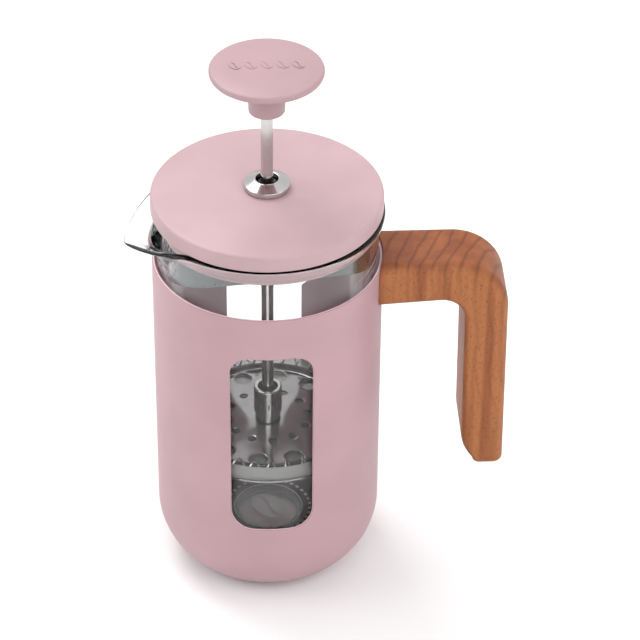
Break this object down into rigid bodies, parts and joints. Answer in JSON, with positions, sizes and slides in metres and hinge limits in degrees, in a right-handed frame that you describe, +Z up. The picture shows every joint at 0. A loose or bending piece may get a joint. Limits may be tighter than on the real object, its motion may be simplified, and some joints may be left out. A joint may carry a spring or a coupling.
{
  "type": "french press",
  "caption": "French press: glass beaker in a painted steel casing with windows, wooden handle, strainer lid, and a plunger with a sprung mesh filter.",
  "frame": {"origin": "centre of the foot pad's underside, on the press's upright axis", "axes": "+X towards the handle, -Y out of the front window, +Z up"},
  "size_m": [0.1266, 0.077, 0.1939],
  "materials": {
    "casing_paint": "matt pink powder paint",
    "lid_paint": "matt pink powder paint",
    "knob_plastic": "matt pink moulding",
    "beech": "oiled beech, satin",
    "clear_glass": "clear, polished",
    "polished_steel": "polished stainless steel",
    "brushed_steel": "satin stainless steel",
    "woven_steel": "fine woven wire cloth",
    "silicone": "matt silicone",
    "black_nylon": "moulded, satin",
    "brass": "machined"
  },
  "bodies": {
    "housing": {"casing": "casing_paint", "foot_pad": "silicone", "base_support": "black_nylon", "wood_handle": "beech", "handle_bracket": "brushed_steel", "handle_screw_inner": "polished_steel", "handle_screw_outer": "polished_steel"},
    "turn_pad": {"beaker_pad": "silicone"},
    "beaker": {"glass_beaker": "clear_glass"},
    "rod_guide": {"guide_bush": "black_nylon"},
    "lid": {"lid_cap": "lid_paint", "lid_liner": "polished_steel", "guide_nut": "polished_steel", "guide_locknut": "brushed_steel"},
    "plunger": {"knob": "knob_plastic", "knob_insert": "brass", "plunger_rod": "polished_steel", "filter_hub": "polished_steel", "hub_washer": "brushed_steel", "spiral_plate": "polished_steel", "edge_spring": "polished_steel", "mesh_screen": "woven_steel", "cross_plate": "polished_steel", "filter_nut": "brushed_steel"}
  },
  "joints": [
    {"name": "beaker_turn", "type": "hinge", "parent": "housing", "child": "turn_pad", "pos_m": [0, 0, 0.011], "axis": [0, 0, 1], "continuous": true},
    {"name": "beaker_lift", "type": "slide", "parent": "turn_pad", "child": "beaker", "axis": [0, 0, 1], "range_m": [0, 0.135]},
    {"name": "lid_lift", "type": "slide", "parent": "beaker", "child": "rod_guide", "axis": [0, 0, 1], "range_m": [0, 0.13]},
    {"name": "lid_turn", "type": "hinge", "parent": "rod_guide", "child": "lid", "pos_m": [0, 0, 0.145], "axis": [0, 0, 1], "continuous": true},
    {"name": "plunger_slide", "type": "slide", "parent": "rod_guide", "child": "plunger", "axis": [0, 0, 1], "range_m": [-0.025, 0.06]}
  ]
}
